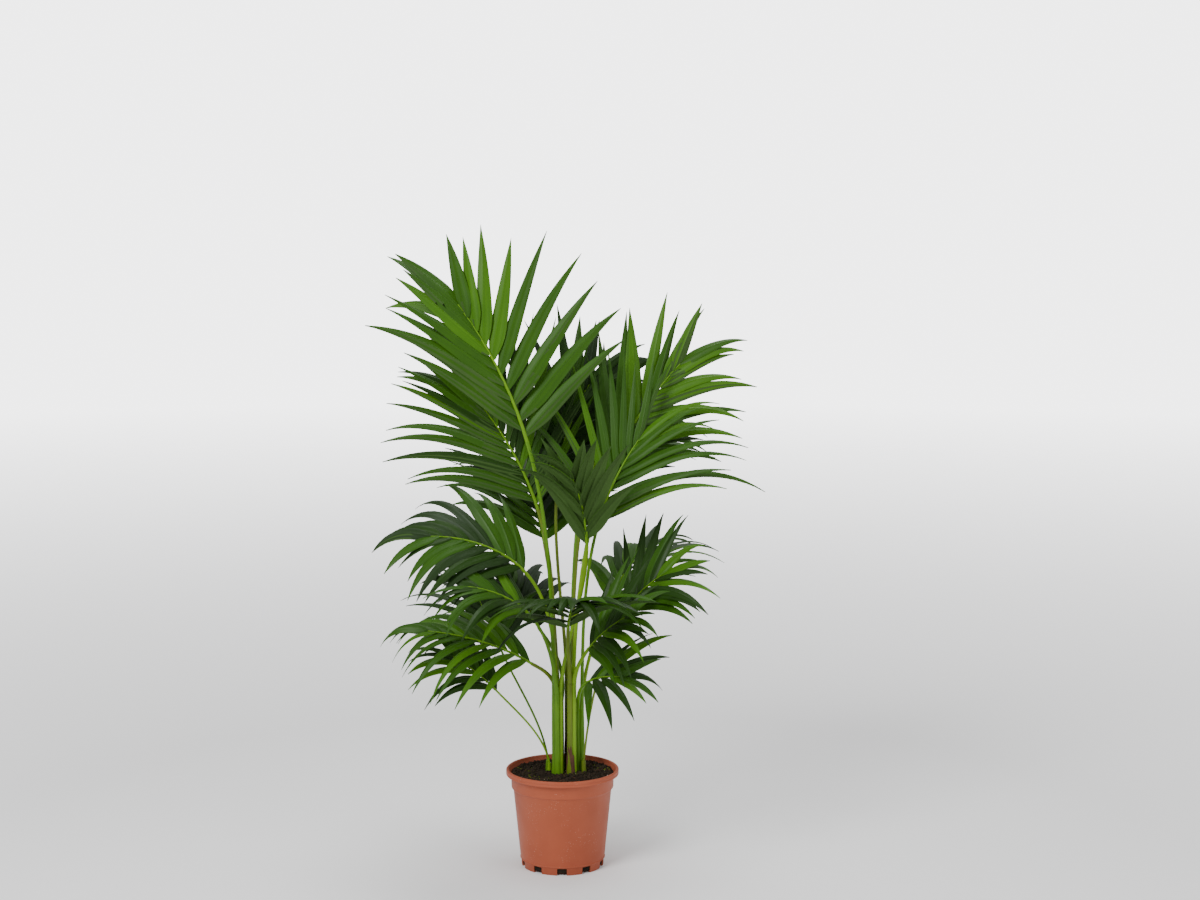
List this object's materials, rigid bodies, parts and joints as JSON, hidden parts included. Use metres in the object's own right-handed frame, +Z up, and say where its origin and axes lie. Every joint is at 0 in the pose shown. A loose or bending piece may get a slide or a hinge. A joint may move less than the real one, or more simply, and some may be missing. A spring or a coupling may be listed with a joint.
{
  "type": "potted kentia palm",
  "caption": "Young kentia palm with arching feather fronds on slender stalks, standing in its round terracotta-coloured nursery pot.",
  "frame": {"origin": "centre of the pot's flat underside, on the ground", "axes": "+Z up along the pot's axis, -Y towards the front of the plant, +X to its right seen from the front"},
  "size_m": [0.7087, 0.6334, 1.1908],
  "materials": {
    "pot": "satin",
    "soil": "matte",
    "sheath": "satin",
    "petiole": "satin",
    "leaf": "satin"
  },
  "bodies": {
    "root": {"pot": "pot", "soil": "soil", "stem_1": "sheath", "stem_2": "sheath", "stem_3": "sheath", "stem_4": "sheath", "stem_5": "sheath", "stem_6": "sheath", "stem_7": "sheath", "stem_8": "sheath", "petiole_01": "petiole", "frond_01": "leaf", "petiole_02": "petiole", "frond_02": "leaf", "petiole_03": "petiole", "frond_03": "leaf", "petiole_04": "petiole", "frond_04": "leaf", "petiole_05": "petiole", "frond_05": "leaf", "petiole_06": "petiole", "frond_06": "leaf", "petiole_07": "petiole", "frond_07": "leaf", "petiole_08": "petiole", "frond_08": "leaf", "petiole_09": "petiole", "frond_09": "leaf", "petiole_10": "petiole", "frond_10": "leaf", "petiole_11": "petiole", "frond_11": "leaf", "petiole_12": "petiole", "frond_12": "leaf", "petiole_13": "petiole", "frond_13": "leaf", "petiole_14": "petiole", "frond_14": "leaf", "petiole_15": "petiole", "frond_15": "leaf", "petiole_16": "petiole", "frond_16": "leaf", "petiole_17": "petiole", "frond_17": "leaf", "petiole_18": "petiole", "frond_18": "leaf", "petiole_19": "petiole", "frond_19": "leaf", "petiole_20": "petiole", "frond_20": "leaf"}
  },
  "joints": []
}
